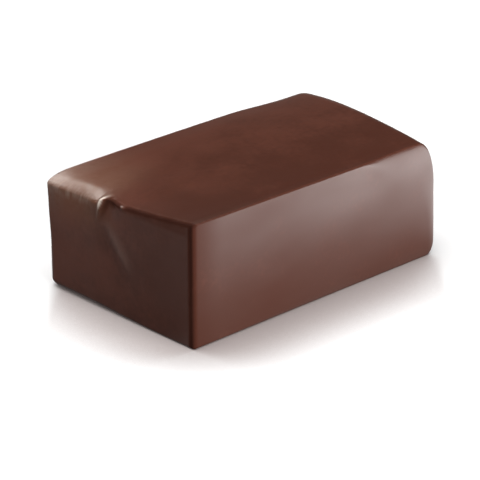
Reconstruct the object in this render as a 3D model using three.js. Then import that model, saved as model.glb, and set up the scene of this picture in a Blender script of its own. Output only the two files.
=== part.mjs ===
// A small oblong candy bar under a smooth dark chocolate coat, as one solid that rests on its flat base.
// Millimetres, +Z up. The length runs along X and the width along Y. The near end faces -X and the front
// faces -Y. At the near end the coat has run over the edge in a soft shoulder, and a fold shows beside it.
import * as THREE from "three";
import { mergeVertices } from "three/addons/utils/BufferGeometryUtils.js";

const { clamp, lerp, smoothstep } = THREE.MathUtils;

// The block that the coat covers, at mid width and before it sags
const LENGTH = 45;
const WIDTH = 27.88;
const HEIGHT = 17.09;

// Radii of the coat's edges at the corners of the top and of the base. The far front corner of the top is
// rounded off along the length and the height, while its edge with the front stays crisp.
const TOP_RADIUS = { nearFront: 0.67, nearBack: 1.55, farBack: 2.07 };
const FAR_FRONT_RADII = new THREE.Vector3(4.4, 1.4, 4.4);
const BASE_RADIUS = { nearFront: 0.4, nearBack: 1.74, farFront: 0.6, farBack: 1.98 };
const BASE_RISE = 1.0; // least height over which the base's edges round off
const CORNER_REACH = 5.0; // how far in from a corner its radii hold
const FAR_SOFTENING = 8.0; // x past which the top's edges begin to take the far end's radii

// The flat of the base, which draws in a little between its corners, so that the bar stands on them
const BASE_INSET = 2.0; // from the sides in to the flat
const BASE_WAIST = 0.1; // how far the flat draws in between its corners
const BASE_FADE = 6; // power of the height with which the base gives way to the bowed sides

// How the block departs from a true box
const SPLAY = 0.8; // each end runs out this far at the back and in at the front
const SIDE_SWELL = 0.15; // outward swell of the sides at mid height
const NEAR_BULGE = 0.22; // outward bow of the near end at mid width
const FAR_BULGE = 0.87; // outward bow of the far end at mid width
const BACK_DRAFT = 0.12; // how far the top of the back leans in
const NEAR_BACK_FLARE = 0.3; // how far the top of the near back corner leans out
const CROWN = 0.15; // rise of the top's middle
const FAR_ARCH = 0.47; // rise of the far end's top edge at mid width
const FAR_FRONT_RISE = 0.15; // rise of the top at its far front corner
const FAR_BACK_DROP = 0.65; // drop of the top at its far back corner
const NEAR_SAG = 1.21; // drop of the top along the near end
const NEAR_SAG_POWER = 2.24; // how closely that drop keeps to the near end
const NEAR_SAG_SPREAD = 0.7; // half turns of sine that it takes across the width

// The fold in the coat of the near end: behind its line the coat stands proud
const FOLD_Y = 2.55; // where the line meets the top edge
const FOLD_TOP = 15.5; // height of that place
const FOLD_SLANT = 0.4; // how far the line runs to the back for each millimetre down
const FOLD_HEIGHT = 0.45; // how far the coat stands out behind the line
const FOLD_EDGE = 0.45; // width of the step at the line
const FOLD_REACH = 6.0; // how far behind the line the coat takes to fall back
const FOLD_FOOT = 11.0; // height at which the fold has died out
const FOLD_FULL = 14.5; // height from which it is full

// The hollow beside the fold, and the small bead past it
const HOLLOW_Y = 0.6;
const HOLLOW_WIDTH = 1.1;
const HOLLOW_DEPTH = 0.6;
const HOLLOW_FOOT = 12.6; // height at which the hollow has run out
const BEAD_Y = -1.65;
const BEAD_WIDTH = 0.6;
const BEAD_HEIGHT = 0.3;
const BEAD_FOOT = 14.4; // height at which the bead has run out

// The slanting crease lower on the near end: a low ridge with a valley behind it
const CREASE_TOP = new THREE.Vector2(1.6, 12.3); // y and z of its upper end
const CREASE_FOOT = new THREE.Vector2(-2.9, 7.9); // y and z of its lower end
const CREASE_HEIGHT = 0.16;
const CREASE_WIDTH = 0.55;
const VALLEY_DEPTH = 0.12;
const VALLEY_WIDTH = 1.0;
const VALLEY_OFFSET = 1.2; // from the ridge to the valley
const CREASE_FADE = 2.0; // length over which each end of the crease dies out

const RELIEF_REACH = 3.0; // how far the end's relief carries in over the top

// Facets along the length, the width and the height, and the places where they crowd together
const LENGTH_STEPS = 32;
const LENGTH_CROWDS = [
  { centre: -1, spread: 0.08, strength: 8 },
  { centre: 1, spread: 0.2, strength: 5 },
];
const WIDTH_STEPS = 38;
const WIDTH_CROWDS = [
  { centre: -1, spread: 0.05, strength: 6 },
  { centre: -1, spread: 0.3, strength: 2.5 },
  { centre: 0.1, spread: 0.16, strength: 4 },
  { centre: 1, spread: 0.14, strength: 4 },
];
const HEIGHT_STEPS = 23;
const HEIGHT_CROWDS = [
  { centre: -1, spread: 0.12, strength: 4 },
  { centre: 1, spread: 0.1, strength: 4 },
  { centre: 1, spread: 0.45, strength: 2.5 },
];

const HALF = new THREE.Vector3(LENGTH / 2, WIDTH / 2, HEIGHT / 2);

// A smooth hump of height 1 at the centre.
function bell(at, centre, width) {
  return Math.exp(-(((at - centre) / width) ** 2));
}

// Rows from -1 to 1, close together about the centre of each crowd.
function crowdedRows(steps, crowds) {
  const SAMPLES = 1000;
  const addCrowd = (sum, at, crowd) => sum + crowd.strength * bell(at, crowd.centre, crowd.spread);
  const density = (at) => crowds.reduce((sum, crowd) => addCrowd(sum, at, crowd), 1);
  const running = [0];
  for (let i = 0; i < SAMPLES; i++) {
    const at = -1 + (2 * (i + 0.5)) / SAMPLES;
    running.push(running[i] + density(at));
  }
  const rows = [];
  let i = 0;
  for (let row = 0; row <= steps; row++) {
    const wanted = (running[SAMPLES] * row) / steps;
    while (i < SAMPLES - 1 && running[i + 1] < wanted) {
      i += 1;
    }
    const share = (wanted - running[i]) / (running[i + 1] - running[i]);
    rows.push(-1 + (2 * (i + share)) / SAMPLES);
  }
  return rows;
}

// Radii of the coat's edge along x, y and z at a place on the box, measured from the box's centre.
function edgeRadii(place) {
  const share = (at, half) => smoothstep(at, CORNER_REACH - half, half - CORNER_REACH);
  const far = share(place.x, HALF.x);
  const back = share(place.y, HALF.y);
  const up = share(place.z, HALF.z);
  const base = lerp(
    lerp(BASE_RADIUS.nearFront, BASE_RADIUS.nearBack, back),
    lerp(BASE_RADIUS.farFront, BASE_RADIUS.farBack, back),
    far,
  );
  const shoulder = smoothstep(place.y, FOLD_Y - HOLLOW_WIDTH, FOLD_Y + HOLLOW_WIDTH);
  const nearTop = lerp(TOP_RADIUS.nearFront, TOP_RADIUS.nearBack, shoulder);
  const farBackRadii = new THREE.Vector3().setScalar(TOP_RADIUS.farBack);
  const farTop = FAR_FRONT_RADII.clone().lerp(farBackRadii, back);
  const softening = smoothstep(place.x, FAR_SOFTENING, HALF.x - CORNER_REACH);
  const top = new THREE.Vector3().setScalar(nearTop).lerp(farTop, softening);
  return new THREE.Vector3(base, base, Math.max(base, BASE_RISE)).lerp(top, up);
}

// The point of the rounded block that belongs to a place on the box, both from the box's centre.
function roundedPoint(place) {
  const radii = edgeRadii(place);
  const reach = HALF.clone().sub(radii);
  const core = place.clone().clamp(reach.clone().negate(), reach);
  const normal = place.clone().sub(core).divide(radii).normalize();
  return core.add(normal.multiply(radii));
}

// How far the coat of the near end stands out at a width y and a height z.
function endRelief(y, z) {
  const pastFold = y - (FOLD_Y + (FOLD_TOP - z) * FOLD_SLANT);
  const step = smoothstep(pastFold, -FOLD_EDGE, 0);
  const fallBack = pastFold > 0 ? bell(pastFold, 0, FOLD_REACH) : 1;
  const fold = FOLD_HEIGHT * step * fallBack * smoothstep(z, FOLD_FOOT, FOLD_FULL);

  const hollow = HOLLOW_DEPTH * bell(y, HOLLOW_Y, HOLLOW_WIDTH) * smoothstep(z, HOLLOW_FOOT, FOLD_TOP);
  const bead = BEAD_HEIGHT * bell(y, BEAD_Y, BEAD_WIDTH) * smoothstep(z, BEAD_FOOT, FOLD_TOP);

  const along = CREASE_FOOT.clone().sub(CREASE_TOP);
  const run = along.length();
  along.normalize();
  const offset = new THREE.Vector2(y, z).sub(CREASE_TOP);
  const travelled = offset.dot(along);
  const behind = along.x * offset.y - along.y * offset.x;
  const ridge = CREASE_HEIGHT * bell(behind, 0, CREASE_WIDTH);
  const valley = VALLEY_DEPTH * bell(behind, VALLEY_OFFSET, VALLEY_WIDTH);
  const shown = smoothstep(travelled, 0, CREASE_FADE) * (1 - smoothstep(travelled, run, run + CREASE_FADE));
  return fold - hollow + bead + (ridge - valley) * shown;
}

// Splays, leans and sags a point of the rounded block, and adds the relief of the near end.
function settle(point) {
  const s = point.x / HALF.x;
  const t = point.y / HALF.y;
  const height = point.z / HEIGHT + 0.5;
  const far = clamp((1 + s) / 2, 0, 1);
  const back = clamp((1 + t) / 2, 0, 1);
  const near = 1 - far;
  const front = 1 - back;

  const swell = SIDE_SWELL * 4 * height * (1 - height);
  const low = (1 - height) ** BASE_FADE;
  const bow = (1 - low) * (far * FAR_BULGE - near * NEAR_BULGE);
  const waist = low * BASE_WAIST;
  const sag = NEAR_SAG * near ** NEAR_SAG_POWER * Math.sin(NEAR_SAG_SPREAD * Math.PI * back);
  const tilt = far * (front * FAR_FRONT_RISE - back * FAR_BACK_DROP);
  const crown = (1 - t * t) * (CROWN * (1 - s * s) + FAR_ARCH * far);

  const lean = NEAR_BACK_FLARE * near * height - BACK_DRAFT;
  const y = point.y + t * (swell - waist * (1 - s * s)) + height * back * lean;
  const z = point.z + HALF.z + height * (crown + tilt - sag);
  const atEnd = 1 - smoothstep(point.x, -HALF.x, -HALF.x + RELIEF_REACH);
  const bulge = (1 - t * t) * (bow - s * waist);
  const x = point.x + s * (SPLAY * t + swell) + bulge - atEnd * endRelief(y, z);
  return point.set(x, y, z);
}

// The whole bar, with rows crowded at the edges and about the fold.
function barGeometry() {
  const nearAndFar = crowdedRows(LENGTH_STEPS, LENGTH_CROWDS);
  const frontAndBack = crowdedRows(WIDTH_STEPS, WIDTH_CROWDS);
  const baseAndTop = crowdedRows(HEIGHT_STEPS, HEIGHT_CROWDS);

  const box = new THREE.BoxGeometry(2, 2, 2, LENGTH_STEPS, WIDTH_STEPS, HEIGHT_STEPS);
  box.deleteAttribute("normal");
  box.deleteAttribute("uv");
  const position = box.getAttribute("position");
  const rowOf = (at, steps) => Math.round(((1 + at) / 2) * steps);
  for (let i = 0; i < position.count; i++) {
    const u = nearAndFar[rowOf(position.getX(i), LENGTH_STEPS)];
    const v = frontAndBack[rowOf(position.getY(i), WIDTH_STEPS)];
    const w = baseAndTop[rowOf(position.getZ(i), HEIGHT_STEPS)];
    const place = new THREE.Vector3(u, v, w).multiply(HALF);
    if (w === -1 && Math.abs(u) < 1 && Math.abs(v) < 1) {
      place.x -= u * BASE_INSET;
      place.y -= v * BASE_INSET;
    }
    const point = settle(roundedPoint(place));
    position.setXYZ(i, point.x, point.y, point.z);
  }
  const geometry = mergeVertices(box);
  geometry.computeBoundingBox();
  const middle = geometry.boundingBox.getCenter(new THREE.Vector3());
  geometry.translate(-middle.x, -middle.y, 0);
  return geometry;
}

const chocolate = new THREE.MeshStandardMaterial({ color: 0x5c3930, roughness: 0.4, metalness: 0 });

const bar = new THREE.Mesh(barGeometry(), chocolate);
bar.name = "bar";

const candyBar = new THREE.Group();
candyBar.add(bar);

export default candyBar;
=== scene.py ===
"""A small oblong candy bar under a smooth dark chocolate coat, lying on a pale studio floor.

Lengths are in metres. The length of the bar runs along X, its near end faces -X and its front faces -Y.
"""

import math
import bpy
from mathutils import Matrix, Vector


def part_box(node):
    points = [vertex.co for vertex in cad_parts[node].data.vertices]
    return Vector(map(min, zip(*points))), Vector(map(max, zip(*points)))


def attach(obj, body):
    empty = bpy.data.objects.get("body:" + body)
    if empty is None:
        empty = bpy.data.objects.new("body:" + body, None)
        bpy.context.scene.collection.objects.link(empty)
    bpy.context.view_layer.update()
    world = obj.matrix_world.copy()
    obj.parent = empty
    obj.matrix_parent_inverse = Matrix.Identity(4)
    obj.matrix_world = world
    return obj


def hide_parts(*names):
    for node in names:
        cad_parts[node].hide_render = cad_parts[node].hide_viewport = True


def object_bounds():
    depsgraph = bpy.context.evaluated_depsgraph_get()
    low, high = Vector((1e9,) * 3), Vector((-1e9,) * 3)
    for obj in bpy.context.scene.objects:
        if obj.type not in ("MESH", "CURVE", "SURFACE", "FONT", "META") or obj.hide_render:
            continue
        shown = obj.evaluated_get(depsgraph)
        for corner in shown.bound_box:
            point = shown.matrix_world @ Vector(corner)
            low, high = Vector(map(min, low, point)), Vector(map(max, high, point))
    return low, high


bl_info = {
    "name": "Candy bar",
    "version": (1, 0, 0),
    "blender": (4, 5, 0),
    "location": "3D View > Sidebar > Candy bar",
    "description": "Makes a small chocolate-coated candy bar and the studio around it",
    "category": "Add Mesh",
}

from types import SimpleNamespace

import bpy
from bpy.props import FloatProperty, FloatVectorProperty, IntProperty, PointerProperty
from mathutils import Matrix, Vector

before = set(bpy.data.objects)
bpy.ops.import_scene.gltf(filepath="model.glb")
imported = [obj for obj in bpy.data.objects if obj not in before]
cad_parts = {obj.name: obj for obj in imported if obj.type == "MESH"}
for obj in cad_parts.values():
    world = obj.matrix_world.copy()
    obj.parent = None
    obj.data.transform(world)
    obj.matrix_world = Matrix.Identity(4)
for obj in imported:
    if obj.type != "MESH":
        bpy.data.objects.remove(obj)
CAD_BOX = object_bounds()
MM = 0.001

# The middle of the bar and its near shoulder, which the lights face, and the place that the camera looks at
MIDDLE = Vector((0.0, 0.0, 8.0)) * MM
SHOULDER = Vector((-20.0, 5.0, 15.0)) * MM
AIM = Vector((-3.93, -2.69, 6.02)) * MM

# Spacing of the rows of faces at the ends, the sides and the fold, as a share of an even spacing
END_SPACING = 0.2
SIDE_SPACING = 0.3
FOLD_SPACING = 0.45

# Powers that keep a bow off the base, a flare and an arch to the top, and a corner's drop to the corner
BASE_POWER = 6.0
FLARE_POWER = 3.0
ARCH_POWER = 12.0
CORNER_POWER = 4.0

# Below, a pair of numbers is where a change starts and ends, or the least and the most of a value

# Places across the width between which the shoulder's drop changes to that of its back corner
DROP_CHANGE = (5.0 * MM, 12.0 * MM)

# The lip's painted highlight, the painted shade of its flank and of the cleft below the edge, as multiples
# of their own sizes
GLINT_WIDTH = 1.6
FLANK_PLACE = -1.2
FLANK_WIDTH = 1.4
CLEFT_LEAST = 0.1
CLEFT_FADE = (0.5, 1.5)

# Slow ripples of the coat, the heights between which they start, and the ragged edge of the near end
RIPPLES_PER_METRE = 110.0
RIPPLE_START = (0.5 * MM, 3.0 * MM)
RAGGED_PER_METRE = 600.0

# About the average of a noise pattern
NOISE_MIDDLE = 0.5

# Share of the painted highlight colour on the near end's small forms, and of painted shade in its recesses
# and edges
LIP_HIGHLIGHT = 0.35
GLINT_HIGHLIGHT = 1.1
BEAD_HIGHLIGHT = 0.2
CREASE_HIGHLIGHT = 0.055
STREAK_WEAR_AND_HIGHLIGHT = 0.15
CLEFT_SHADE = 0.3
FLANK_SHADE = 0.5
EDGE_SHADE = 0.7
VALLEY_SHADE = 0.06
TURN_SHADE = 0.13

# The pale coat is duller, and its paler colour is a painted highlight
# Pale coat of the near shoulder: how far its edge slants back, half the width of that edge, and its reach
PALE_SLANT = 0.2
PALE_BLEND = 3.0 * MM
PALE_REACH = 15.0 * MM

# Mottling of the coat's colour, and the depth over which painted light makes the coat lighter towards the
# back
MOTTLES_PER_METRE = 160.0
SPECKLES_PER_METRE = 1500.0
SPECKLE_SHARE = 0.4
MOTTLE_RANGE = (0.3, 0.7)
PAINTED_LIGHT_DEPTH = 70.0 * MM

# Streaks of wear and painted highlight at the shoulder's turn into the end: along the length they end,
# across and up they start
STREAKS_PER_METRE = 1500.0
STREAK_STRETCH = 0.3
STREAK_RANGE = (0.35, 0.7)
STREAK_ALONG = (-22.6 * MM, -21.6 * MM)
STREAK_ACROSS = (4.0 * MM, 6.0 * MM)
STREAK_UP = (13.3 * MM, 14.7 * MM)

# Roughness of the smooth coat, the pale coat and the coat under wear and painted light and shade, and how
# soon these take the gloss away
SMOOTH_PER_METRE = 320.0
SMOOTH_ROUGHNESS = (0.27, 0.35)
PALE_ROUGHNESS = 0.43
WEAR_AND_PAINT_ROUGHNESS = 0.8
WEAR_AND_PAINT_GAIN = 3.0
COAT_IOR = 1.48

# Sheen of the coat in slow clouds, and its share on the top between the front and the back edges
CLOUDS_PER_METRE = 130.0
CLOUD_STRETCH = 0.5
CLOUD_SHEEN = (0.2, 0.8)
TOP_SHEEN = 0.4
TOP_UP = (14.8 * MM, 15.6 * MM)
TOP_FRONT = (-13.6 * MM, -12.6 * MM)
TOP_BACK = (9.0 * MM, 12.0 * MM)

# Sheen of the shoulder from the fold to the back corner, in small patches, and of the coat under wear and
# painted highlights, and under painted shade
SHOULDER_SHEEN = (0.24, 1.0)
SHOULDER_BACK = (9.0 * MM, 13.5 * MM)
PATCHES_PER_METRE = 900.0
PATCH_RANGE = (0.35, 0.65)
PATCH_SHEEN = (0.6, 1.0)
WEAR_AND_PAINT_SHEEN = 0.15
PAINTED_SHADE_SHEEN = 0.02

# Fine bumps of the coat: a grain, dimples and the scuffs of the pale coat
GRAINS_PER_METRE = 5200.0
DIMPLES_PER_METRE = 700.0
SCUFFS_PER_METRE = 1300.0
GRAIN_SHARE = 0.3
SCUFF_SHARE = 4.0
BUMP_STRENGTH = 0.25
BUMP_DEPTH = 0.02 * MM

# Colour of the surroundings, of the card and of the floor in the bar's gloss
WHITE = (1.0, 1.0, 1.0)

# Floor: half its side, and the soft painted shade before the bar
FLOOR_REACH = 1.5
SHADE_REACH = 15.0 * MM
SHADE_SAMPLES = 16
SHADE_RANGE = (0.45, 0.92)
SHADE_BLEND = 2.5 * MM

# Share of light that the floor does not throw back, and the faint light it gives off, though no lamp, in
# its painted shade and in the bar's gloss
FLOOR_DIM = 0.45
FLOOR_FILL = 0.1
FLOOR_GLOSS = 0.2

# Reflecting card: its ends from the bar's middle, its edges from the bar's front, and its height
CARD_LEFT = -80.0 * MM
CARD_RIGHT = 110.0 * MM
CARD_BEFORE = 70.0 * MM
CARD_BEHIND = 60.0 * MM
CARD_HEIGHT = 0.3 * MM

# Glow of the card before the front: it grows away from the bar and to the right, and has a peak
FRONT_AWAY = (3.0 * MM, 32.0 * MM)
FRONT_ALONG = (-20.0 * MM, 50.0 * MM)
FRONT_GLOW = (0.5, 1.6)
PEAK_AWAY = (25.0 * MM, 28.5 * MM)
PEAK_ALONG = (26.0 * MM, 36.0 * MM)
PEAK_GLOW = 1.1
CARD_PATCHES_PER_METRE = 60.0
CARD_PATCHES = (0.5, 1.5)

# Glow of the card all along the front, past the far end, before the near end and behind the back
LOW_GLOW = 0.15
FAR_ALONG = (21.0 * MM, 40.0 * MM)
FAR_GLOW = 0.95
NEAR_ACROSS = (-16.0 * MM, -8.0 * MM)
NEAR_AWAY = (30.0 * MM, 45.0 * MM)
NEAR_GLOW = (0.042, 0.075)
BACK_ACROSS = (14.0 * MM, 19.0 * MM)
BACK_ALONG = (-25.0 * MM, -20.0 * MM)
BACK_GLOW = 0.3

# Lights: the distance of the broad ones, and the distance and beam of the small one at the shoulder
STUDIO_AWAY = 0.6
SHOULDER_AWAY = 48.0 * MM
SHOULDER_SPREAD = math.radians(50.0)


def distance(name, description, millimetres):
    """A length that a user can change, given in millimetres."""
    return FloatProperty(
        name=name,
        description=description,
        default=millimetres * MM,
        precision=5,
        subtype="DISTANCE",
        unit="LENGTH",
    )


def amount(name, description, value):
    """A plain number that a user can change."""
    return FloatProperty(name=name, description=description, default=value)


def angle(name, description, degrees):
    """An angle that a user can change, given in degrees."""
    return FloatProperty(name=name, description=description, default=math.radians(degrees), subtype="ANGLE")


def colour(name, description, linear):
    """A colour that a user can change, given as linear red, green and blue."""
    return FloatVectorProperty(
        name=name, description=description, default=linear, size=3, subtype="COLOR", min=0.0, max=1.0
    )


class BlockSizes(bpy.types.PropertyGroup):
    """Sizes of the bar as a whole"""

    length: distance("Length", "Length of the block at mid width", 45.06)
    width: distance("Width", "Width of the block", 28.08)
    height: distance("Height", "Height of the block before it sags", 17.03)
    crisp_radius: distance("Crisp radius", "Radius of the near and front edges of the top", 0.25)
    shoulder_radius: distance("Shoulder radius", "Rounding across the width of the top's back edge", 1.2)
    shoulder_width: distance("Shoulder width", "How far in from the near end the shoulder rounds off", 4.2)
    shoulder_corner: distance("Shoulder corner", "The same at the shoulder's back corner", 3.8)
    shoulder_drop: distance("Shoulder drop", "How far down the near end the shoulder rounds off", 1.25)
    shoulder_back_drop: distance("Shoulder back drop", "How far down the back corner rounds off", 1.0)
    far_back_radius: distance("Far back radius", "Rounding down the top's far back corner", 2.0)
    far_back_spread: distance("Far back spread", "Rounding along and across that corner", 2.6)
    corner_length: distance("Corner length", "Rounding along the length of the top's far front corner", 3.3)
    corner_depth: distance("Corner depth", "Rounding across the width of that corner", 0.4)
    corner_height: distance("Corner height", "Rounding down the height of that corner", 6.4)
    base_near_front: distance("Near front base radius", "Radius of the base at the near front", 0.4)
    base_near_back: distance("Near back base radius", "Radius in plan of the base at the near back", 1.8)
    base_rise: distance("Base rise", "Height over which the base rounds off at the near back", 1.3)
    base_far_back: distance("Far back base radius", "Radius of the base at the far back", 1.98)
    foot_length: distance("Foot length", "Rounding along the length of the base's far front corner", 1.44)
    foot_depth: distance("Foot depth", "Rounding across the width of that corner", 0.35)
    foot_height: distance("Foot height", "Rounding up the height of that corner", 2.22)
    foot_spread: distance("Foot spread", "How far that corner runs out along the length", 0.7)
    corner_reach: distance("Corner reach", "How far in from a corner its radii hold", 5.0)
    softening: distance("Softening", "Place along the length past which the top's edges soften", 8.0)
    splay: distance("Splay", "How far each end runs out at the back and in at the front", 0.8)
    near_bulge: distance("Near bulge", "Outward bow of the near end at mid width", 0.27)
    far_bulge: distance("Far bulge", "Outward bow of the far end at mid width", 0.81)
    back_draft: distance("Back draft", "How far the top of the back leans in", 0.16)
    near_back_flare: distance("Near back flare", "How far the near back corner of the top leans out", 0.43)
    crown: distance("Crown", "Rise of the top's middle", 0.13)
    far_arch: distance("Far arch", "Rise of the far edge of the top at mid width", 0.7)
    far_front_rise: distance("Far front rise", "Rise of the top at its far front corner", 0.08)
    far_back_run: distance("Far back run", "How far the far back corner runs out along the length", 0.75)
    far_back_drop: distance("Far back drop", "Drop of the top at its far back corner", 0.33)
    near_back_drop: distance("Near back drop", "Drop of the top's back edge towards its near end", 0.28)
    back_sag: distance("Back sag", "Drop of the back edge of the top at mid length", 0.2)
    back_corner_drop: distance("Back corner drop", "Drop of the top at its near back corner", 0.15)
    back_corner_reach: distance("Back corner reach", "How far from the near end that drop carries", 3.0)
    sag: distance("Sag", "Drop of the top along the near end", 1.19)
    sag_power: amount("Sag power", "How closely the sag keeps to the near end", 2.17)
    sag_spread: amount("Sag spread", "Half turns of sine that the sag takes across the width", 0.7)


class FoldSizes(bpy.types.PropertyGroup):
    """Sizes of the fold and the crease in the coat of the near end, and of its painted highlights and shade
    """

    fold_y: distance("Fold place", "Where the fold's line meets the top edge, across the width", 2.35)
    fold_top: distance("Fold top", "Height of that place", 15.5)
    fold_slant: amount("Fold slant", "How far the line runs back for each step down", 0.4)
    fold_height: distance("Fold height", "How far the coat stands out behind the line", 0.34)
    fold_edge: distance("Fold edge", "Width of the step at the line", 0.4)
    fold_reach: distance("Fold reach", "How far behind the line the coat takes to fall back", 2.8)
    fold_foot: distance("Fold foot", "Height at which the fold has died out", 12.0)
    fold_full: distance("Fold full", "Height from which the fold is full", 15.2)
    shoulder_blend: distance("Shoulder blend", "Width over which the crisp edge becomes the shoulder", 1.4)
    lip_height: distance("Lip height", "How far the thin ridge along the line stands out", 0.16)
    lip_width: distance("Lip width", "Half width of that ridge", 0.2)
    # The glint down the ridge is a painted highlight
    glint_height: distance("Glint height", "From the top down to where the ridge is not worn", 1.6)
    lip_reach: distance("Lip reach", "How far in from the end that ridge dies out", 2.6)
    hollow_y: distance("Hollow place", "Middle of the hollow beside the fold, across the width", 1.2)
    hollow_width: distance("Hollow width", "Half width of the hollow", 1.6)
    hollow_start: distance("Hollow start", "From the top down to where the edge begins to overhang", 0.1)
    hollow_full: distance("Hollow full", "From the top down to where the hollow is deepest", 0.6)
    hollow_run: distance("Hollow run", "From the top down to where the hollow has run out", 4.0)
    hollow_depth: distance("Hollow depth", "Depth of the hollow behind the edge that overhangs it", 0.25)
    bite_depth: distance("Bite depth", "How far the edge over the hollow is set back", 0.3)
    arch_rise: distance("Arch rise", "How far the edge over the hollow rises", 0.12)
    # The dark cleft is painted shade under the overhanging edge
    cleft_height: distance("Cleft height", "Height of the dark cleft under that edge", 1.0)
    bead_y: distance("Bead place", "Middle of the bead past the hollow, across the width", -1.6)
    bead_width: distance("Bead width", "Half width of the bead", 0.5)
    bead_depth: distance("Bead depth", "How far the bead stands out", 0.2)
    belly_y: distance("Belly place", "Middle of the part that leans in, across the width", 6.5)
    belly_width: distance("Belly width", "Half width of that part", 4.0)
    belly_depth: distance("Belly depth", "How far that part leans in at its top", 1.0)
    belly_foot: distance("Belly foot", "Height from which that part leans in", 4.0)
    # The dark line along the crisp edges is painted shade
    edge_width: distance("Edge width", "Width of the dark line along the end's crisp edges", 0.4)
    edge_depth: distance("Edge depth", "How far the ragged top edge of the end is set back", 0.1)
    edge_reach: distance("Edge reach", "How far in from the end that line dies out", 0.9)
    # The darker coat along the front at the near edge is painted shade
    turn_reach: distance("Turn reach", "How far along the front the coat is darker from the near edge", 5.5)
    crease_top_y: distance("Crease top place", "Upper end of the crease, across the width", 1.3)
    crease_top_z: distance("Crease top height", "Height of the crease's upper end", 12.3)
    crease_foot_y: distance("Crease foot place", "Lower end of the crease, across the width", -2.2)
    crease_foot_z: distance("Crease foot height", "Height of the crease's lower end", 7.9)
    crease_height: distance("Crease height", "Height of the crease's ridge", 0.1)
    crease_width: distance("Crease width", "Half width of the crease's ridge", 1.0)
    valley_depth: distance("Valley depth", "Depth of the valley behind the ridge", 0.06)
    valley_width: distance("Valley width", "Half width of the valley", 1.5)
    valley_offset: distance("Valley offset", "From the ridge to the valley", 1.8)
    crease_fade: distance("Crease fade", "Length over which each end of the crease dies out", 2.0)
    relief_reach: distance("Relief reach", "How far the end's relief carries in over the top", 3.0)


class CoatFinish(bpy.types.PropertyGroup):
    """Fineness and finish of the chocolate coat, and the colours of its painted light and shade"""

    length_rows: IntProperty(name="Length rows", description="Faces along the length", default=120, min=8)
    width_rows: IntProperty(name="Width rows", description="Faces across the width", default=150, min=8)
    height_rows: IntProperty(name="Height rows", description="Faces up the height", default=100, min=8)
    ripple: distance("Ripple", "Height of the coat's slow ripples", 0.03)
    brown: colour("Brown", "Colour of the coat where it is lightest", (0.094, 0.0312, 0.0199))
    dark_brown: colour("Dark brown", "Colour of the coat where it is darkest", (0.063, 0.0209, 0.0133))
    # Painted highlight colour of the pale shoulder
    painted_highlight_brown: colour("Pale brown", "Colour of the coat along the near shoulder", (0.117, 0.051, 0.031))
    # Colour of the painted highlights on the lip, glint, bead and crease, and of the streaks of wear
    highlight_and_wear_brown: colour("Worn brown", "Colour of the coat where it is worn", (0.7, 0.6, 0.52))
    # Colour of the painted shade in the recesses and along the edges
    painted_shade_brown: colour("Deep brown", "Colour of the coat in its recesses", (0.022, 0.007, 0.005))


class StudioSettings(bpy.types.PropertyGroup):
    """View and lights of the studio"""

    view_azimuth: angle("View azimuth", "Direction of the camera around the bar", -42.29)
    view_elevation: angle("View elevation", "Height of the camera as an angle", 23.86)
    view_distance: distance("View distance", "From the camera to the place that it looks at", 266.06)
    floor_colour: colour("Floor colour", "Colour of the studio floor", (0.88, 0.88, 0.88))
    # The floor's colour close to the bar is painted shade
    floor_shade: colour("Floor shade", "Colour of the studio floor close to the bar", (0.42, 0.37, 0.36))
    top_power: amount("Top light", "Watts of the broad light overhead", 5.95)
    key_power: amount("Key light", "Watts of the light before the front", 5.8)
    rim_power: amount("Rim light", "Watts of the small light behind the near shoulder", 0.0019)
    back_power: amount("Back light", "Watts of the light that shows in the back edges", 0.11)
    sheen_colour: colour("Sheen colour", "Colour of the lights that only show as sheen", (0.97, 0.94, 0.88))
    card_strength: amount("Card", "Brightness of the reflecting card around the bar", 2.6)
    ambient: amount("Ambient", "Brightness of the surroundings", 0.02)


class Value:
    """A number that a node tree works out for each place, written as ordinary arithmetic"""

    def __init__(self, tree, socket):
        self.tree = tree
        self.socket = socket

    def made_by(self, operation, *items):
        """The outcome of one Math node on values and plain numbers."""
        node = self.tree.nodes.new("ShaderNodeMath")
        node.operation = operation
        for slot, item in zip(node.inputs, items):
            feed(slot, item)
        return Value(self.tree, node.outputs[0])

    def __add__(self, other):
        return self.made_by("ADD", self, other)

    def __radd__(self, other):
        return self.made_by("ADD", other, self)

    def __sub__(self, other):
        return self.made_by("SUBTRACT", self, other)

    def __rsub__(self, other):
        return self.made_by("SUBTRACT", other, self)

    def __mul__(self, other):
        return self.made_by("MULTIPLY", self, other)

    def __rmul__(self, other):
        return self.made_by("MULTIPLY", other, self)

    def __truediv__(self, other):
        return self.made_by("DIVIDE", self, other)

    def __pow__(self, other):
        return self.made_by("POWER", self, other)

    def __neg__(self):
        return self.made_by("MULTIPLY", self, -1.0)

    def at_least(self, other):
        return self.made_by("MAXIMUM", self, other)

    def at_most(self, other):
        return self.made_by("MINIMUM", self, other)

    def sine(self):
        return self.made_by("SINE", self)

    def root(self):
        return self.made_by("SQRT", self)

    def exponential(self):
        return self.made_by("EXPONENT", self)


def feed(slot, item):
    """Links a value to a node's input, or sets the input to a plain number."""
    if isinstance(item, Value):
        item.tree.links.new(item.socket, slot)
    else:
        slot.default_value = item


def mix(start, end, share):
    """A value between start and end."""
    return start + (end - start) * share


def smooth_rise(value, start, end):
    """Rises smoothly from 0 to 1 as the value goes from start to end."""
    node = value.tree.nodes.new("ShaderNodeMapRange")
    node.interpolation_type = "SMOOTHSTEP"
    feed(node.inputs["Value"], value)
    feed(node.inputs["From Min"], start)
    feed(node.inputs["From Max"], end)
    return Value(value.tree, node.outputs["Result"])


def bell(value, centre, width):
    """A smooth hump of height 1 at the centre."""
    away = (value - centre) / width
    return (-(away * away)).exponential()


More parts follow.
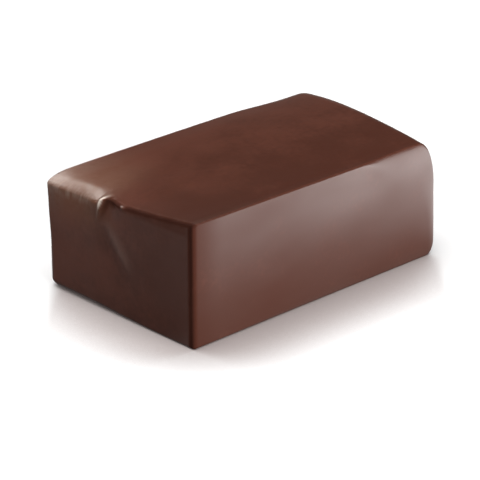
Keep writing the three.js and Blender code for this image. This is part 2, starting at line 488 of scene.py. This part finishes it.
def crowded(at, end_spacing, middle_spacing):
    """Moves evenly spaced rows from -1 to 1 so that they crowd where the spacing is small."""
    lean = (middle_spacing - end_spacing) / 2
    wave = (middle_spacing + end_spacing) / 2 - 1
    once = at + (at * math.pi).sine() * (lean / math.pi)
    if wave == 0:
        return once
    return once + (at * (2 * math.pi)).sine() * (wave / (2 * math.pi))


def separate(tree, socket):
    """The x, y and z of a vector in a node tree."""
    node = tree.nodes.new("ShaderNodeSeparateXYZ")
    tree.links.new(socket, node.inputs[0])
    return [Value(tree, output) for output in node.outputs]


def combine(tree, x, y, z):
    """The output of a node that joins x, y and z into a vector."""
    node = tree.nodes.new("ShaderNodeCombineXYZ")
    for slot, item in zip(node.inputs, (x, y, z)):
        feed(slot, item)
    return node.outputs[0]


def noise_value(tree, vector, scale, detail):
    """The value of a noise pattern at each place, which is about a half on average."""
    node = tree.nodes.new("ShaderNodeTexNoise")
    node.inputs["Scale"].default_value = scale
    node.inputs["Detail"].default_value = detail
    tree.links.new(vector, node.inputs["Vector"])
    return Value(tree, node.outputs["Fac"])


def edge_radii(size, half, x, y, z):
    """Radii of the coat's edge along x, y and z at a place on the box."""

    def share(at, half_side):
        return smooth_rise(at, size.corner_reach - half_side, half_side - size.corner_reach)

    far = share(x, half[0])
    back = share(y, half[1])
    up = share(z, half[2])
    shoulder = smooth_rise(y, size.fold_y, size.fold_y + size.shoulder_blend)
    softening = smooth_rise(x, size.softening, half[0] - size.corner_reach)
    inside_back = 1.0 - smooth_rise(y, half[1] - size.corner_reach, half[1] - size.shoulder_radius)
    shoulder_length = mix(size.shoulder_corner, size.shoulder_width, inside_back)
    shoulder_drop = mix(size.shoulder_drop, size.shoulder_back_drop, smooth_rise(y, *DROP_CHANGE))
    radii = []
    plan = size.base_near_back
    spread = size.far_back_spread
    for near_back, foot, corner, near_shoulder, far_back in (
        (plan, size.foot_length, size.corner_length, shoulder_length, spread),
        (plan, size.foot_depth, size.corner_depth, size.shoulder_radius, spread),
        (size.base_rise, size.foot_height, size.corner_height, shoulder_drop, size.far_back_radius),
    ):
        base_near = mix(size.base_near_front, near_back, back)
        base = mix(base_near, mix(foot, size.base_far_back, back), far)
        near_top = mix(size.crisp_radius, near_shoulder, shoulder)
        far_top = mix(corner, far_back, back)
        radii.append(mix(base, mix(near_top, far_top, softening), up))
    return radii


def rounded_place(size, half, places):
    """The point of the rounded block that belongs to a place on the box."""
    radii = edge_radii(size, half, *places)
    cores = []
    steps = []
    for place, side, radius in zip(places, half, radii):
        reach = side - radius
        core = place.at_least(-reach).at_most(reach)
        cores.append(core)
        steps.append((place - core) / radius)
    x_step, y_step, z_step = steps
    span = (x_step * x_step + y_step * y_step + z_step * z_step).root()
    return [core + radius * step / span for core, radius, step in zip(cores, radii, steps)]


def end_forms(size, half, place, y, z):
    """The share of each small form of the near end, at a place of the block that settles at y and z."""
    from_end = place[0] + half[0]
    from_top = half[2] - place[2]
    from_front = place[1] + half[1]
    past_fold = y - (size.fold_y + (size.fold_top - z) * size.fold_slant)
    step = smooth_rise(past_fold, -size.fold_edge, 0.0)
    fall_back = bell(past_fold.at_least(0.0), 0.0, size.fold_reach)
    fold_up = smooth_rise(z, size.fold_foot, size.fold_full)
    at_lip = 1.0 - smooth_rise(from_end, 0.0, size.lip_reach)
    near_top = smooth_rise(z, size.fold_top - size.glint_height, size.fold_top)
    fold = step * fall_back * fold_up
    lip = bell(past_fold, size.lip_width, size.lip_width) * fold_up * at_lip
    # The glint only carries a painted highlight, and the flank only painted shade
    glint = bell(past_fold, size.lip_width, size.lip_width * GLINT_WIDTH) * near_top * at_lip
    flank = bell(past_fold, size.fold_edge * FLANK_PLACE, size.fold_edge * FLANK_WIDTH) * fold_up * at_lip
    risen = ((z - size.belly_foot) / (size.fold_top - size.belly_foot)).at_least(0.0)
    belly = bell(y, size.belly_y, size.belly_width) * risen * risen

    at_edge = 1.0 - smooth_rise(from_end, 0.0, size.edge_reach)
    over_hollow = bell(y, size.hollow_y, size.hollow_width)
    arch = over_hollow * at_lip
    beside_fold = over_hollow * (1.0 - step)
    bite = beside_fold * (1.0 - smooth_rise(from_top, size.hollow_full, size.hollow_run))
    hollow = bite * smooth_rise(from_top, size.hollow_start, size.hollow_full)
    # The cleft only carries painted shade under the overhanging edge
    thickness = size.cleft_height * (CLEFT_LEAST + beside_fold)
    under_edge = 1.0 - smooth_rise(from_top, thickness * CLEFT_FADE[0], thickness * CLEFT_FADE[1])
    cleft = under_edge * beside_fold * at_edge
    bead = bell(y, size.bead_y, size.bead_width) * bell(from_top, 0.0, size.bead_width) * at_edge

    tree = y.tree
    uneven = noise_value(tree, combine(tree, from_end, y, z), RAGGED_PER_METRE, detail=1.0)
    # The dark line along the crisp edges and down the front edge, and the darker turn, are painted shade
    below_top = bell(from_top, 0.0, size.edge_width * (uneven + NOISE_MIDDLE)) * (1.0 - step)
    beside_front = bell(from_front, size.edge_width, size.edge_width)
    edge = below_top.at_least(beside_front) * at_edge * (1.0 - bead)
    ragged = below_top * at_edge * uneven
    on_front = 1.0 - smooth_rise(from_front, 0.0, size.edge_width)
    turn = on_front * (1.0 - smooth_rise(from_end, 0.0, size.turn_reach))

    run_y = size.crease_foot_y - size.crease_top_y
    run_z = size.crease_foot_z - size.crease_top_z
    run = (run_y * run_y + run_z * run_z).root()
    from_y = y - size.crease_top_y
    from_z = z - size.crease_top_z
    travelled = (from_y * run_y + from_z * run_z) / run
    behind = (run_y * from_z - run_z * from_y) / run
    fade_in = smooth_rise(travelled, -size.crease_fade, size.crease_fade)
    fade_out = 1.0 - smooth_rise(travelled, run - size.crease_fade, run + size.crease_fade)
    crease = bell(behind, 0.0, size.crease_width) * fade_in * fade_out
    valley = bell(behind, size.valley_offset, size.valley_width) * fade_in * fade_out
    return SimpleNamespace(
        fold=fold,
        lip=lip,
        glint=glint,
        flank=flank,
        arch=arch,
        bite=bite,
        hollow=hollow,
        cleft=cleft,
        bead=bead,
        edge=edge,
        ragged=ragged,
        turn=turn,
        belly=belly,
        crease=crease,
        valley=valley,
    )


def end_relief(size, forms):
    """How far the coat of the near end stands out."""
    folded = size.fold_height * forms.fold + size.lip_height * forms.lip
    beside = size.bead_depth * forms.bead - size.bite_depth * forms.bite - size.hollow_depth * forms.hollow
    creased = size.crease_height * forms.crease - size.valley_depth * forms.valley
    return folded + beside + creased - size.edge_depth * forms.ragged - size.belly_depth * forms.belly


def painted_light_share(forms):
    """Painted light on the near end's coat: painted highlights on the lip, glint, bead and crease above
    zero, and painted shade in the cleft, flank, edge line and valley below zero.
    """
    lip = LIP_HIGHLIGHT * forms.lip + GLINT_HIGHLIGHT * forms.glint
    painted_light_and_wear = lip + BEAD_HIGHLIGHT * forms.bead + CREASE_HIGHLIGHT * forms.crease
    under_edge = (CLEFT_SHADE * forms.cleft).at_least(FLANK_SHADE * forms.flank)
    recess = under_edge.at_least(EDGE_SHADE * forms.edge)
    return painted_light_and_wear - recess - VALLEY_SHADE * forms.valley


def settled_place(size, half, place):
    """A point of the rounded block, splayed, leant, sagged and with the near end's relief, and its painted
    light and shade.
    """
    s = place[0] / half[0]
    t = place[1] / half[1]
    up = (place[2] / size.height + 0.5).at_least(0.0).at_most(1.0)
    far = (0.5 + s * 0.5).at_least(0.0).at_most(1.0)
    back = (0.5 + t * 0.5).at_least(0.0).at_most(1.0)
    near = 1.0 - far
    front = 1.0 - back

    mid_width = 1.0 - t * t
    mid_length = 1.0 - s * s
    above_base = 1.0 - (1.0 - up) ** BASE_POWER
    bow = mid_width * above_base * (far * size.far_bulge - near * size.near_bulge)
    spread = far * front * (1.0 - up) * size.foot_spread
    sag = size.sag * near**size.sag_power * (size.sag_spread * math.pi * back).sine()
    sunk = back * (near * size.near_back_drop + mid_length * size.back_sag)
    tilt = far * (front * size.far_front_rise - back * size.far_back_drop) - sunk
    crown = mid_width * (size.crown * mid_length + size.far_arch * far)
    lean = size.near_back_flare * near * up**FLARE_POWER - size.back_draft

    y = place[1] + up * back * lean
    at_corner = back**CORNER_POWER
    corner_drop = size.back_corner_drop * bell(place[0], -half[0], size.back_corner_reach) * at_corner
    z = place[2] + half[2] + up * (crown + tilt - sag - corner_drop)
    at_end = 1.0 - smooth_rise(place[0], -half[0], size.relief_reach - half[0])
    forms = end_forms(size, half, place, y, z)
    run_out = size.far_back_run * far * at_corner
    x = place[0] + s * size.splay * t + bow + spread + run_out - at_end * end_relief(size, forms)
    z = z + size.arch_rise * forms.arch * up**ARCH_POWER
    return (x, y, z), at_end * painted_light_share(forms) - TURN_SHADE * forms.turn


def pale_share(size, half, x, y, z):
    """How dull the coat is, and how far its colour is painted paler as a highlight: most along the near
    shoulder, and less and less away from it.
    """
    from_end = (x + half[0]).at_least(0.0)
    edge = size.fold_y + from_end * PALE_SLANT
    behind = smooth_rise(y, edge - PALE_BLEND, edge + PALE_BLEND)
    over_top = 1.0 - smooth_rise(from_end, 0.0, PALE_REACH)
    down_end = smooth_rise(z, size.fold_foot - PALE_BLEND, size.fold_top)
    return behind * over_top * down_end


def tree_inputs(tree, settings):
    """Gives a node tree one named input for each setting, with the setting's own value as its default."""
    identifiers = {}
    for group in settings:
        for prop in group.bl_rna.properties:
            if prop.type not in ("FLOAT", "INT") or getattr(prop, "is_array", False):
                continue
            kind = "NodeSocketInt" if prop.type == "INT" else "NodeSocketFloat"
            socket = tree.interface.new_socket(prop.name, in_out="INPUT", socket_type=kind)
            socket.default_value = prop.default
            identifiers[prop.identifier] = socket.identifier
    return identifiers


def stored(tree, geometry, name, value):
    """The geometry with a value kept under a name at each of its points."""
    node = tree.nodes.new("GeometryNodeStoreNamedAttribute")
    node.data_type = "FLOAT"
    node.domain = "POINT"
    node.inputs["Name"].default_value = name
    tree.links.new(geometry, node.inputs["Geometry"])
    feed(node.inputs["Value"], value)
    return node.outputs[0]


def bar_tree(settings, coat):
    """The tree of nodes that makes the bar, and the identifiers of its inputs."""
    tree = bpy.data.node_groups.new("Candy bar", "GeometryNodeTree")
    identifiers = tree_inputs(tree, settings)
    tree.interface.new_socket("Geometry", in_out="OUTPUT", socket_type="NodeSocketGeometry")
    entry = tree.nodes.new("NodeGroupInput")
    sockets = {socket.identifier: socket for socket in entry.outputs}
    values = {name: Value(tree, sockets[identifier]) for name, identifier in identifiers.items()}
    size = SimpleNamespace(**values)

    box = tree.nodes.new("GeometryNodeMeshCube")
    box.inputs["Size"].default_value = (2.0, 2.0, 2.0)
    for axis, rows in (("X", size.length_rows), ("Y", size.width_rows), ("Z", size.height_rows)):
        feed(box.inputs["Vertices " + axis], rows + 1.0)

    position = tree.nodes.new("GeometryNodeInputPosition")
    u, v, w = separate(tree, position.outputs[0])
    half = (size.length * 0.5, size.width * 0.5, size.height * 0.5)
    places = (
        crowded(u, END_SPACING, 2.0 - END_SPACING) * half[0],
        crowded(v, SIDE_SPACING, FOLD_SPACING) * half[1],
        crowded(w, SIDE_SPACING, 2.0 - SIDE_SPACING) * half[2],
    )
    settled, painted_light_and_wear = settled_place(size, half, rounded_place(size, half, places))
    # Keeps the near end's painted light and shade, and the shoulder's share of duller coat and painted
    # highlight, at each point
    marked = stored(tree, box.outputs["Mesh"], "painted_light_and_wear", painted_light_and_wear)
    marked = stored(tree, marked, "pale", pale_share(size, half, *settled))
    form = tree.nodes.new("GeometryNodeSetPosition")
    tree.links.new(marked, form.inputs["Geometry"])
    tree.links.new(combine(tree, *settled), form.inputs["Position"])

    surface = tree.nodes.new("GeometryNodeInputPosition").outputs[0]
    above_base = smooth_rise(separate(tree, surface)[2], *RIPPLE_START)
    wave = noise_value(tree, surface, RIPPLES_PER_METRE, detail=0.0) - NOISE_MIDDLE
    rise = wave * size.ripple * above_base
    normal = tree.nodes.new("GeometryNodeInputNormal")
    offset = tree.nodes.new("ShaderNodeVectorMath")
    offset.operation = "SCALE"
    tree.links.new(normal.outputs[0], offset.inputs[0])
    feed(offset.inputs["Scale"], rise)
    ripple = tree.nodes.new("GeometryNodeSetPosition")
    tree.links.new(form.outputs[0], ripple.inputs["Geometry"])
    tree.links.new(offset.outputs[0], ripple.inputs["Offset"])

    smooth = tree.nodes.new("GeometryNodeSetShadeSmooth")
    tree.links.new(ripple.outputs[0], smooth.inputs["Geometry"])
    realize = tree.nodes.new("GeometryNodeRealizeInstances")
    tree.links.new(smooth.outputs[0], realize.inputs["Geometry"])
    cover = tree.nodes.new("GeometryNodeSetMaterial")
    cover.inputs["Material"].default_value = coat
    tree.links.new(realize.outputs[0], cover.inputs["Geometry"])
    leave = tree.nodes.new("NodeGroupOutput")
    tree.links.new(cover.outputs[0], leave.inputs[0])
    return tree, identifiers


def new_material(name):
    """A material with an empty node tree, and that tree."""
    material = bpy.data.materials.new(name)
    material.use_nodes = True
    material.node_tree.nodes.clear()
    return material, material.node_tree


def show_surface(tree, shader):
    """Makes a shader the surface of its material."""
    output = tree.nodes.new("ShaderNodeOutputMaterial")
    tree.links.new(shader, output.inputs["Surface"])


def kept_value(tree, name):
    """The value that the bar's points keep under a name."""
    node = tree.nodes.new("ShaderNodeAttribute")
    node.attribute_name = name
    return Value(tree, node.outputs["Fac"])


def mixed_colour(tree, share, first, second):
    """The socket of a mix of two colours, each of them a colour or a socket."""
    node = tree.nodes.new("ShaderNodeMix")
    node.data_type = "RGBA"
    feed(node.inputs["Factor"], share)
    for name, item in (("A", first), ("B", second)):
        socket = next(s for s in node.inputs if s.name == name and s.type == "RGBA")
        if isinstance(item, bpy.types.NodeSocket):
            tree.links.new(item, socket)
        else:
            socket.default_value = item
    return next(s for s in node.outputs if s.type == "RGBA")


def streaks_and_painted_light(tree, x, y, z):
    """The bar's painted highlights and shade, with streaks of wear and painted highlight where the shoulder
    turns into the near end.
    """
    stretched = combine(tree, x * STREAK_STRETCH, y, z * STREAK_STRETCH)
    streaks = smooth_rise(noise_value(tree, stretched, STREAKS_PER_METRE, detail=3.0), *STREAK_RANGE)
    at_end = 1.0 - smooth_rise(x, *STREAK_ALONG)
    at_turn = at_end * smooth_rise(y, *STREAK_ACROSS) * smooth_rise(z, *STREAK_UP)
    return kept_value(tree, "painted_light_and_wear") + at_turn * streaks * STREAK_WEAR_AND_HIGHLIGHT


def coat_colour(tree, finish, place, pale, painted_light_and_wear):
    """The socket of the coat's colour: mottled, with painted light towards the back and on the shoulder,
    wear and painted highlights, and painted shade.
    """
    mottle = noise_value(tree, place, MOTTLES_PER_METRE, detail=3.0)
    speckle = noise_value(tree, place, SPECKLES_PER_METRE, detail=2.0)
    # Painted light makes the coat lighter towards the back
    painted_light_backward = separate(tree, place)[1] / PAINTED_LIGHT_DEPTH
    shade = smooth_rise(mix(mottle, speckle, SPECKLE_SHARE) + painted_light_backward, *MOTTLE_RANGE)
    tones = (
        (shade, finish.brown),
        (pale, finish.painted_highlight_brown),
        (painted_light_and_wear.at_least(0.0), finish.highlight_and_wear_brown),
        ((-painted_light_and_wear).at_least(0.0), finish.painted_shade_brown),
    )
    mixed = (*finish.dark_brown, 1.0)
    for share, tone in tones:
        mixed = mixed_colour(tree, share, mixed, (*tone, 1.0))
    return mixed


def coat_sheen(tree, place, pale):
    """The strength of the coat's sheen before wear and painted light: in clouds, weaker on the top and
    patchy on the shoulder.
    """
    x, y, z = separate(tree, place)
    cloud = noise_value(tree, combine(tree, x * CLOUD_STRETCH, y, z), CLOUDS_PER_METRE, detail=2.0)
    on_top = smooth_rise(z, *TOP_UP) * smooth_rise(y, *TOP_FRONT) * (1.0 - smooth_rise(y, *TOP_BACK))
    cloudy = mix(*CLOUD_SHEEN, cloud) * mix(1.0, TOP_SHEEN, on_top)
    patches = smooth_rise(noise_value(tree, place, PATCHES_PER_METRE, detail=3.0), *PATCH_RANGE)
    shoulder = mix(*SHOULDER_SHEEN, smooth_rise(y, *SHOULDER_BACK)) * mix(*PATCH_SHEEN, patches)
    return mix(cloudy, shoulder, pale)


def coat_bump(tree, place, pale):
    """The socket of the coat's normal, with its grain, dimples and scuffs."""
    grain = noise_value(tree, place, GRAINS_PER_METRE, detail=2.0)
    dimple = noise_value(tree, place, DIMPLES_PER_METRE, detail=2.0)
    scuff = noise_value(tree, place, SCUFFS_PER_METRE, detail=3.0) * pale
    bump = tree.nodes.new("ShaderNodeBump")
    bump.inputs["Strength"].default_value = BUMP_STRENGTH
    bump.inputs["Distance"].default_value = BUMP_DEPTH
    feed(bump.inputs["Height"], grain * GRAIN_SHARE + dimple + scuff * SCUFF_SHARE)
    return bump.outputs[0]


def chocolate_material(finish):
    """Dark chocolate with a satin skin: slow mottling, wear, painted highlights and shade, uneven gloss and
    a very fine grain.
    """
    material, tree = new_material("Chocolate coat")
    place = tree.nodes.new("ShaderNodeTexCoord").outputs["Object"]
    pale = kept_value(tree, "pale")
    painted_light_and_wear = streaks_and_painted_light(tree, *separate(tree, place))
    # Wear, painted highlights and painted shade take the gloss away; painted shade takes most of it
    matte = ((painted_light_and_wear * painted_light_and_wear).root() * WEAR_AND_PAINT_GAIN).at_most(1.0)
    sunk = (painted_light_and_wear * -WEAR_AND_PAINT_GAIN).at_least(0.0).at_most(1.0)
    unevenness = noise_value(tree, place, SMOOTH_PER_METRE, detail=4.0)
    satin = mix(mix(*SMOOTH_ROUGHNESS, unevenness), PALE_ROUGHNESS, pale)
    sheen = mix(mix(coat_sheen(tree, place, pale), WEAR_AND_PAINT_SHEEN, matte), PAINTED_SHADE_SHEEN, sunk)

    shader = tree.nodes.new("ShaderNodeBsdfPrincipled")
    shader.inputs["IOR"].default_value = COAT_IOR
    tree.links.new(coat_colour(tree, finish, place, pale, painted_light_and_wear), shader.inputs["Base Color"])
    feed(shader.inputs["Roughness"], mix(satin, WEAR_AND_PAINT_ROUGHNESS, matte))
    feed(shader.inputs["Specular IOR Level"], sheen)
    tree.links.new(coat_bump(tree, place, pale), shader.inputs["Normal"])
    show_surface(tree, shader.outputs[0])
    return material


def floor_light(tree, outward):
    """How light the floor is painted: painted shade beside the bar on one side, and no wider than the bar
    from there.
    """
    open_sky = tree.nodes.new("ShaderNodeAmbientOcclusion")
    open_sky.samples = SHADE_SAMPLES
    open_sky.inputs["Distance"].default_value = SHADE_REACH
    tree.links.new(combine(tree, -outward.x, -outward.y, outward.z), open_sky.inputs["Normal"])
    lit = smooth_rise(Value(tree, open_sky.outputs["AO"]), *SHADE_RANGE)

    rightward = Vector((-outward.y, outward.x)).normalized()
    sides = [high - low for low, high in zip(*CAD_BOX)]
    half_view = (abs(rightward.x) * sides[0] + abs(rightward.y) * sides[1]) / 2
    x, y, _ = separate(tree, tree.nodes.new("ShaderNodeTexCoord").outputs["Object"])
    across = x * rightward.x + y * rightward.y
    return lit.at_least(smooth_rise((across * across).root(), half_view - SHADE_BLEND, half_view))


def glowing(tree, colour_seen, strength):
    """The output of a shader that gives off light."""
    node = tree.nodes.new("ShaderNodeEmission")
    node.inputs["Color"].default_value = (*colour_seen, 1.0)
    feed(node.inputs["Strength"], strength)
    return node.outputs[0]


def floor_material(settings):
    """Plain pale floor with a soft painted shade before the bar and a faint glow in it; the bar's gloss
    sees only a faint white glow.
    """
    material, tree = new_material("Pale floor")
    lit = floor_light(tree, direction(settings.view_azimuth, settings.view_elevation))
    shaded = mixed_colour(tree, lit, (*settings.floor_shade, 1.0), (*settings.floor_colour, 1.0))
    light_path = tree.nodes.new("ShaderNodeLightPath")
    bounced = Value(tree, light_path.outputs["Is Diffuse Ray"]) * FLOOR_DIM
    seen = tree.nodes.new("ShaderNodeBsdfDiffuse")
    tree.links.new(mixed_colour(tree, bounced, shaded, (0.0, 0.0, 0.0, 1.0)), seen.inputs["Color"])
    # A faint glow in the shade colour, though the floor is no lamp
    filled = tree.nodes.new("ShaderNodeAddShader")
    tree.links.new(seen.outputs[0], filled.inputs[0])
    tree.links.new(glowing(tree, settings.floor_shade, FLOOR_FILL), filled.inputs[1])
    # To the bar's gloss the floor is only a faint white glow, a painted reflection
    either = tree.nodes.new("ShaderNodeMixShader")
    tree.links.new(light_path.outputs["Is Glossy Ray"], either.inputs[0])
    tree.links.new(filled.outputs[0], either.inputs[1])
    tree.links.new(glowing(tree, WHITE, FLOOR_GLOSS), either.inputs[2])
    show_surface(tree, either.outputs[0])
    return material


def card_material(settings, wall):
    """A card that only shows as a reflection in the bar: bright before its front, faint elsewhere."""
    material, tree = new_material("Reflecting card")
    place = tree.nodes.new("ShaderNodeTexCoord").outputs["Object"]
    x, y, _ = separate(tree, place)
    away = wall - y
    front = smooth_rise(away, *FRONT_AWAY) * mix(*FRONT_GLOW, smooth_rise(x, *FRONT_ALONG))
    peak = smooth_rise(away, *PEAK_AWAY) * smooth_rise(x, *PEAK_ALONG) * PEAK_GLOW
    past_far_end = smooth_rise(x, *FAR_ALONG) * FAR_GLOW
    patchy = mix(*CARD_PATCHES, noise_value(tree, place, CARD_PATCHES_PER_METRE, detail=1.0))
    near_end = mix(*NEAR_GLOW, smooth_rise(-x, *NEAR_AWAY))
    low = mix(LOW_GLOW, near_end, smooth_rise(y, *NEAR_ACROSS))
    behind = smooth_rise(y, *BACK_ACROSS) * smooth_rise(x, *BACK_ALONG) * BACK_GLOW
    glow = ((front + peak).at_least(past_far_end) * patchy + low + behind) * settings.card_strength
    show_surface(tree, glowing(tree, WHITE, glow))
    return material


def flat_sheet(name, low, high, height, material):
    """A flat rectangle between two corners at a height."""
    corners = [(low[0], low[1]), (high[0], low[1]), (high[0], high[1]), (low[0], high[1])]
    mesh = bpy.data.meshes.new(name)
    mesh.from_pydata([(x, y, height) for x, y in corners], [], [(0, 1, 2, 3)])
    mesh.materials.append(material)
    sheet = bpy.data.objects.new(name, mesh)
    bpy.context.scene.collection.objects.link(sheet)
    return sheet


def direction(azimuth, elevation):
    """The unit vector to a place around the bar, where azimuth 0 is straight before its front."""
    flat = math.cos(elevation)
    return Vector((math.sin(azimuth) * flat, -math.cos(azimuth) * flat, math.sin(elevation)))


def soft_light(name, power, width, height):
    """A broad light that the camera does not see."""
    lamp = bpy.data.lights.new(name, "AREA")
    lamp.shape = "RECTANGLE"
    lamp.size = width
    lamp.size_y = height
    lamp.energy = power
    light = bpy.data.objects.new(name, lamp)
    light.visible_camera = False
    bpy.context.scene.collection.objects.link(light)
    return light


def place_light(light, target, away, azimuth, elevation):
    """Puts a light at a distance from a place, in a direction in degrees, and turns it to that place."""
    outward = direction(math.radians(azimuth), math.radians(elevation))
    light.location = target + outward * away
    light.rotation_euler = (-outward).to_track_quat("-Z", "Y").to_euler()


class OBJECT_OT_candy_bar(bpy.types.Operator):
    """Make the bar with its chocolate coat"""

    bl_idname = "object.make_candy_bar"
    bl_label = "Make candy bar"

    def execute(self, context):
        scene = context.scene
        settings = (scene.bar_block, scene.bar_fold, scene.bar_finish)
        coat = chocolate_material(scene.bar_finish)
        tree, identifiers = bar_tree(settings, coat)
        maker = bpy.data.objects.new("bar_maker", bpy.data.meshes.new("bar_maker"))
        scene.collection.objects.link(maker)
        modifier = maker.modifiers.new("Candy bar", "NODES")
        modifier.node_group = tree
        for group in settings:
            for name, identifier in identifiers.items():
                if hasattr(group, name):
                    modifier[identifier] = getattr(group, name)

        evaluated = maker.evaluated_get(context.evaluated_depsgraph_get())
        mesh = bpy.data.meshes.new_from_object(evaluated)
        if not mesh.polygons:
            raise RuntimeError("the bar's tree made no faces")
        maker.modifiers.remove(modifier)
        bpy.data.objects.remove(maker)

        lowest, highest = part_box("bar")
        corners = [Vector(vertex.co) for vertex in mesh.vertices]
        low = [min(corner[axis] for corner in corners) for axis in range(3)]
        high = [max(corner[axis] for corner in corners) for axis in range(3)]
        shift = [(lowest[axis] + highest[axis] - low[axis] - high[axis]) / 2 for axis in range(2)]
        mesh.transform(Matrix.Translation((*shift, 0.0)))
        mesh.name = "coated_bar"
        bar = bpy.data.objects.new("coated_bar", mesh)
        scene.collection.objects.link(bar)
        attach(bar, "root")
        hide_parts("bar")
        return {"FINISHED"}


class SCENE_OT_candy_bar_studio(bpy.types.Operator):
    """Make the studio: floor, card, lights, surroundings and camera"""

    bl_idname = "scene.make_candy_bar_studio"
    bl_label = "Make studio"

    def execute(self, context):
        scene = context.scene
        settings = scene.bar_studio
        scene.view_settings.view_transform = "Standard"
        corner = (FLOOR_REACH, FLOOR_REACH)
        flat_sheet("studio_floor", (-FLOOR_REACH, -FLOOR_REACH), corner, 0.0, floor_material(settings))

        wall = CAD_BOX[0][1]
        card = flat_sheet(
            "studio_card",
            (CARD_LEFT, wall - CARD_BEFORE),
            (CARD_RIGHT, wall + CARD_BEHIND),
            CARD_HEIGHT,
            card_material(settings, wall),
        )
        card.visible_camera = False
        card.visible_diffuse = False
        card.visible_shadow = False

        top_light = soft_light("top_light", settings.top_power, width=0.7, height=0.7)
        place_light(top_light, MIDDLE, STUDIO_AWAY, azimuth=235.0, elevation=78.0)
        key_light = soft_light("key_light", settings.key_power, width=0.5, height=0.18)
        place_light(key_light, MIDDLE, STUDIO_AWAY, azimuth=4.0, elevation=9.5)
        key_light.visible_glossy = False
        rim_light = soft_light("rim_light", settings.rim_power, width=18.0 * MM, height=16.0 * MM)
        place_light(rim_light, SHOULDER, SHOULDER_AWAY, azimuth=176.0, elevation=38.0)
        rim_light.data.spread = SHOULDER_SPREAD
        back_light = soft_light("back_light", settings.back_power, width=0.8, height=0.1)
        place_light(back_light, MIDDLE, STUDIO_AWAY, azimuth=138.0, elevation=5.0)
        for light in (rim_light, back_light):
            light.visible_diffuse = False
            light.data.color = settings.sheen_colour

        world = bpy.data.worlds.new("Studio surroundings")
        world.use_nodes = True
        tree = world.node_tree
        tree.nodes.clear()
        light_path = tree.nodes.new("ShaderNodeLightPath")
        seen = Value(tree, light_path.outputs["Is Camera Ray"])
        mirrored = Value(tree, light_path.outputs["Is Glossy Ray"])
        background = tree.nodes.new("ShaderNodeBackground")
        background.inputs["Color"].default_value = (*WHITE, 1.0)
        feed(background.inputs["Strength"], mix(settings.ambient * (1.0 - mirrored), 1.0, seen))
        output = tree.nodes.new("ShaderNodeOutputWorld")
        tree.links.new(background.outputs[0], output.inputs["Surface"])
        scene.world = world

        lens = bpy.data.cameras.new("camera")
        lens.sensor_width = 36.0
        lens.lens = 150.0
        lens.clip_start = 0.01
        camera = bpy.data.objects.new("camera", lens)
        outward = direction(settings.view_azimuth, settings.view_elevation)
        camera.location = AIM + outward * settings.view_distance
        camera.rotation_euler = (-outward).to_track_quat("-Z", "Y").to_euler()
        scene.collection.objects.link(camera)
        scene.camera = camera
        return {"FINISHED"}


class VIEW3D_PT_candy_bar(bpy.types.Panel):
    """Lists the bar's operators and settings"""

    bl_label = "Candy bar"
    bl_space_type = "VIEW_3D"
    bl_region_type = "UI"
    bl_category = "Candy bar"

    def draw(self, context):
        layout = self.layout
        scene = context.scene
        layout.operator(OBJECT_OT_candy_bar.bl_idname)
        layout.operator(SCENE_OT_candy_bar_studio.bl_idname)
        for group in (scene.bar_block, scene.bar_fold, scene.bar_finish, scene.bar_studio):
            column = layout.column(align=True)
            for prop in group.bl_rna.properties:
                if prop.type in ("FLOAT", "INT"):
                    column.prop(group, prop.identifier)


SETTINGS = {
    "bar_block": BlockSizes,
    "bar_fold": FoldSizes,
    "bar_finish": CoatFinish,
    "bar_studio": StudioSettings,
}
CLASSES = (*SETTINGS.values(), OBJECT_OT_candy_bar, SCENE_OT_candy_bar_studio, VIEW3D_PT_candy_bar)


def register():
    for kind in CLASSES:
        bpy.utils.register_class(kind)
    for name, kind in SETTINGS.items():
        setattr(bpy.types.Scene, name, PointerProperty(type=kind))


def unregister():
    for name in SETTINGS:
        delattr(bpy.types.Scene, name)
    for kind in reversed(CLASSES):
        bpy.utils.unregister_class(kind)


def main():
    register()
    bpy.ops.object.make_candy_bar()
    bpy.ops.scene.make_candy_bar_studio()


if __name__ == "__main__":
    main()
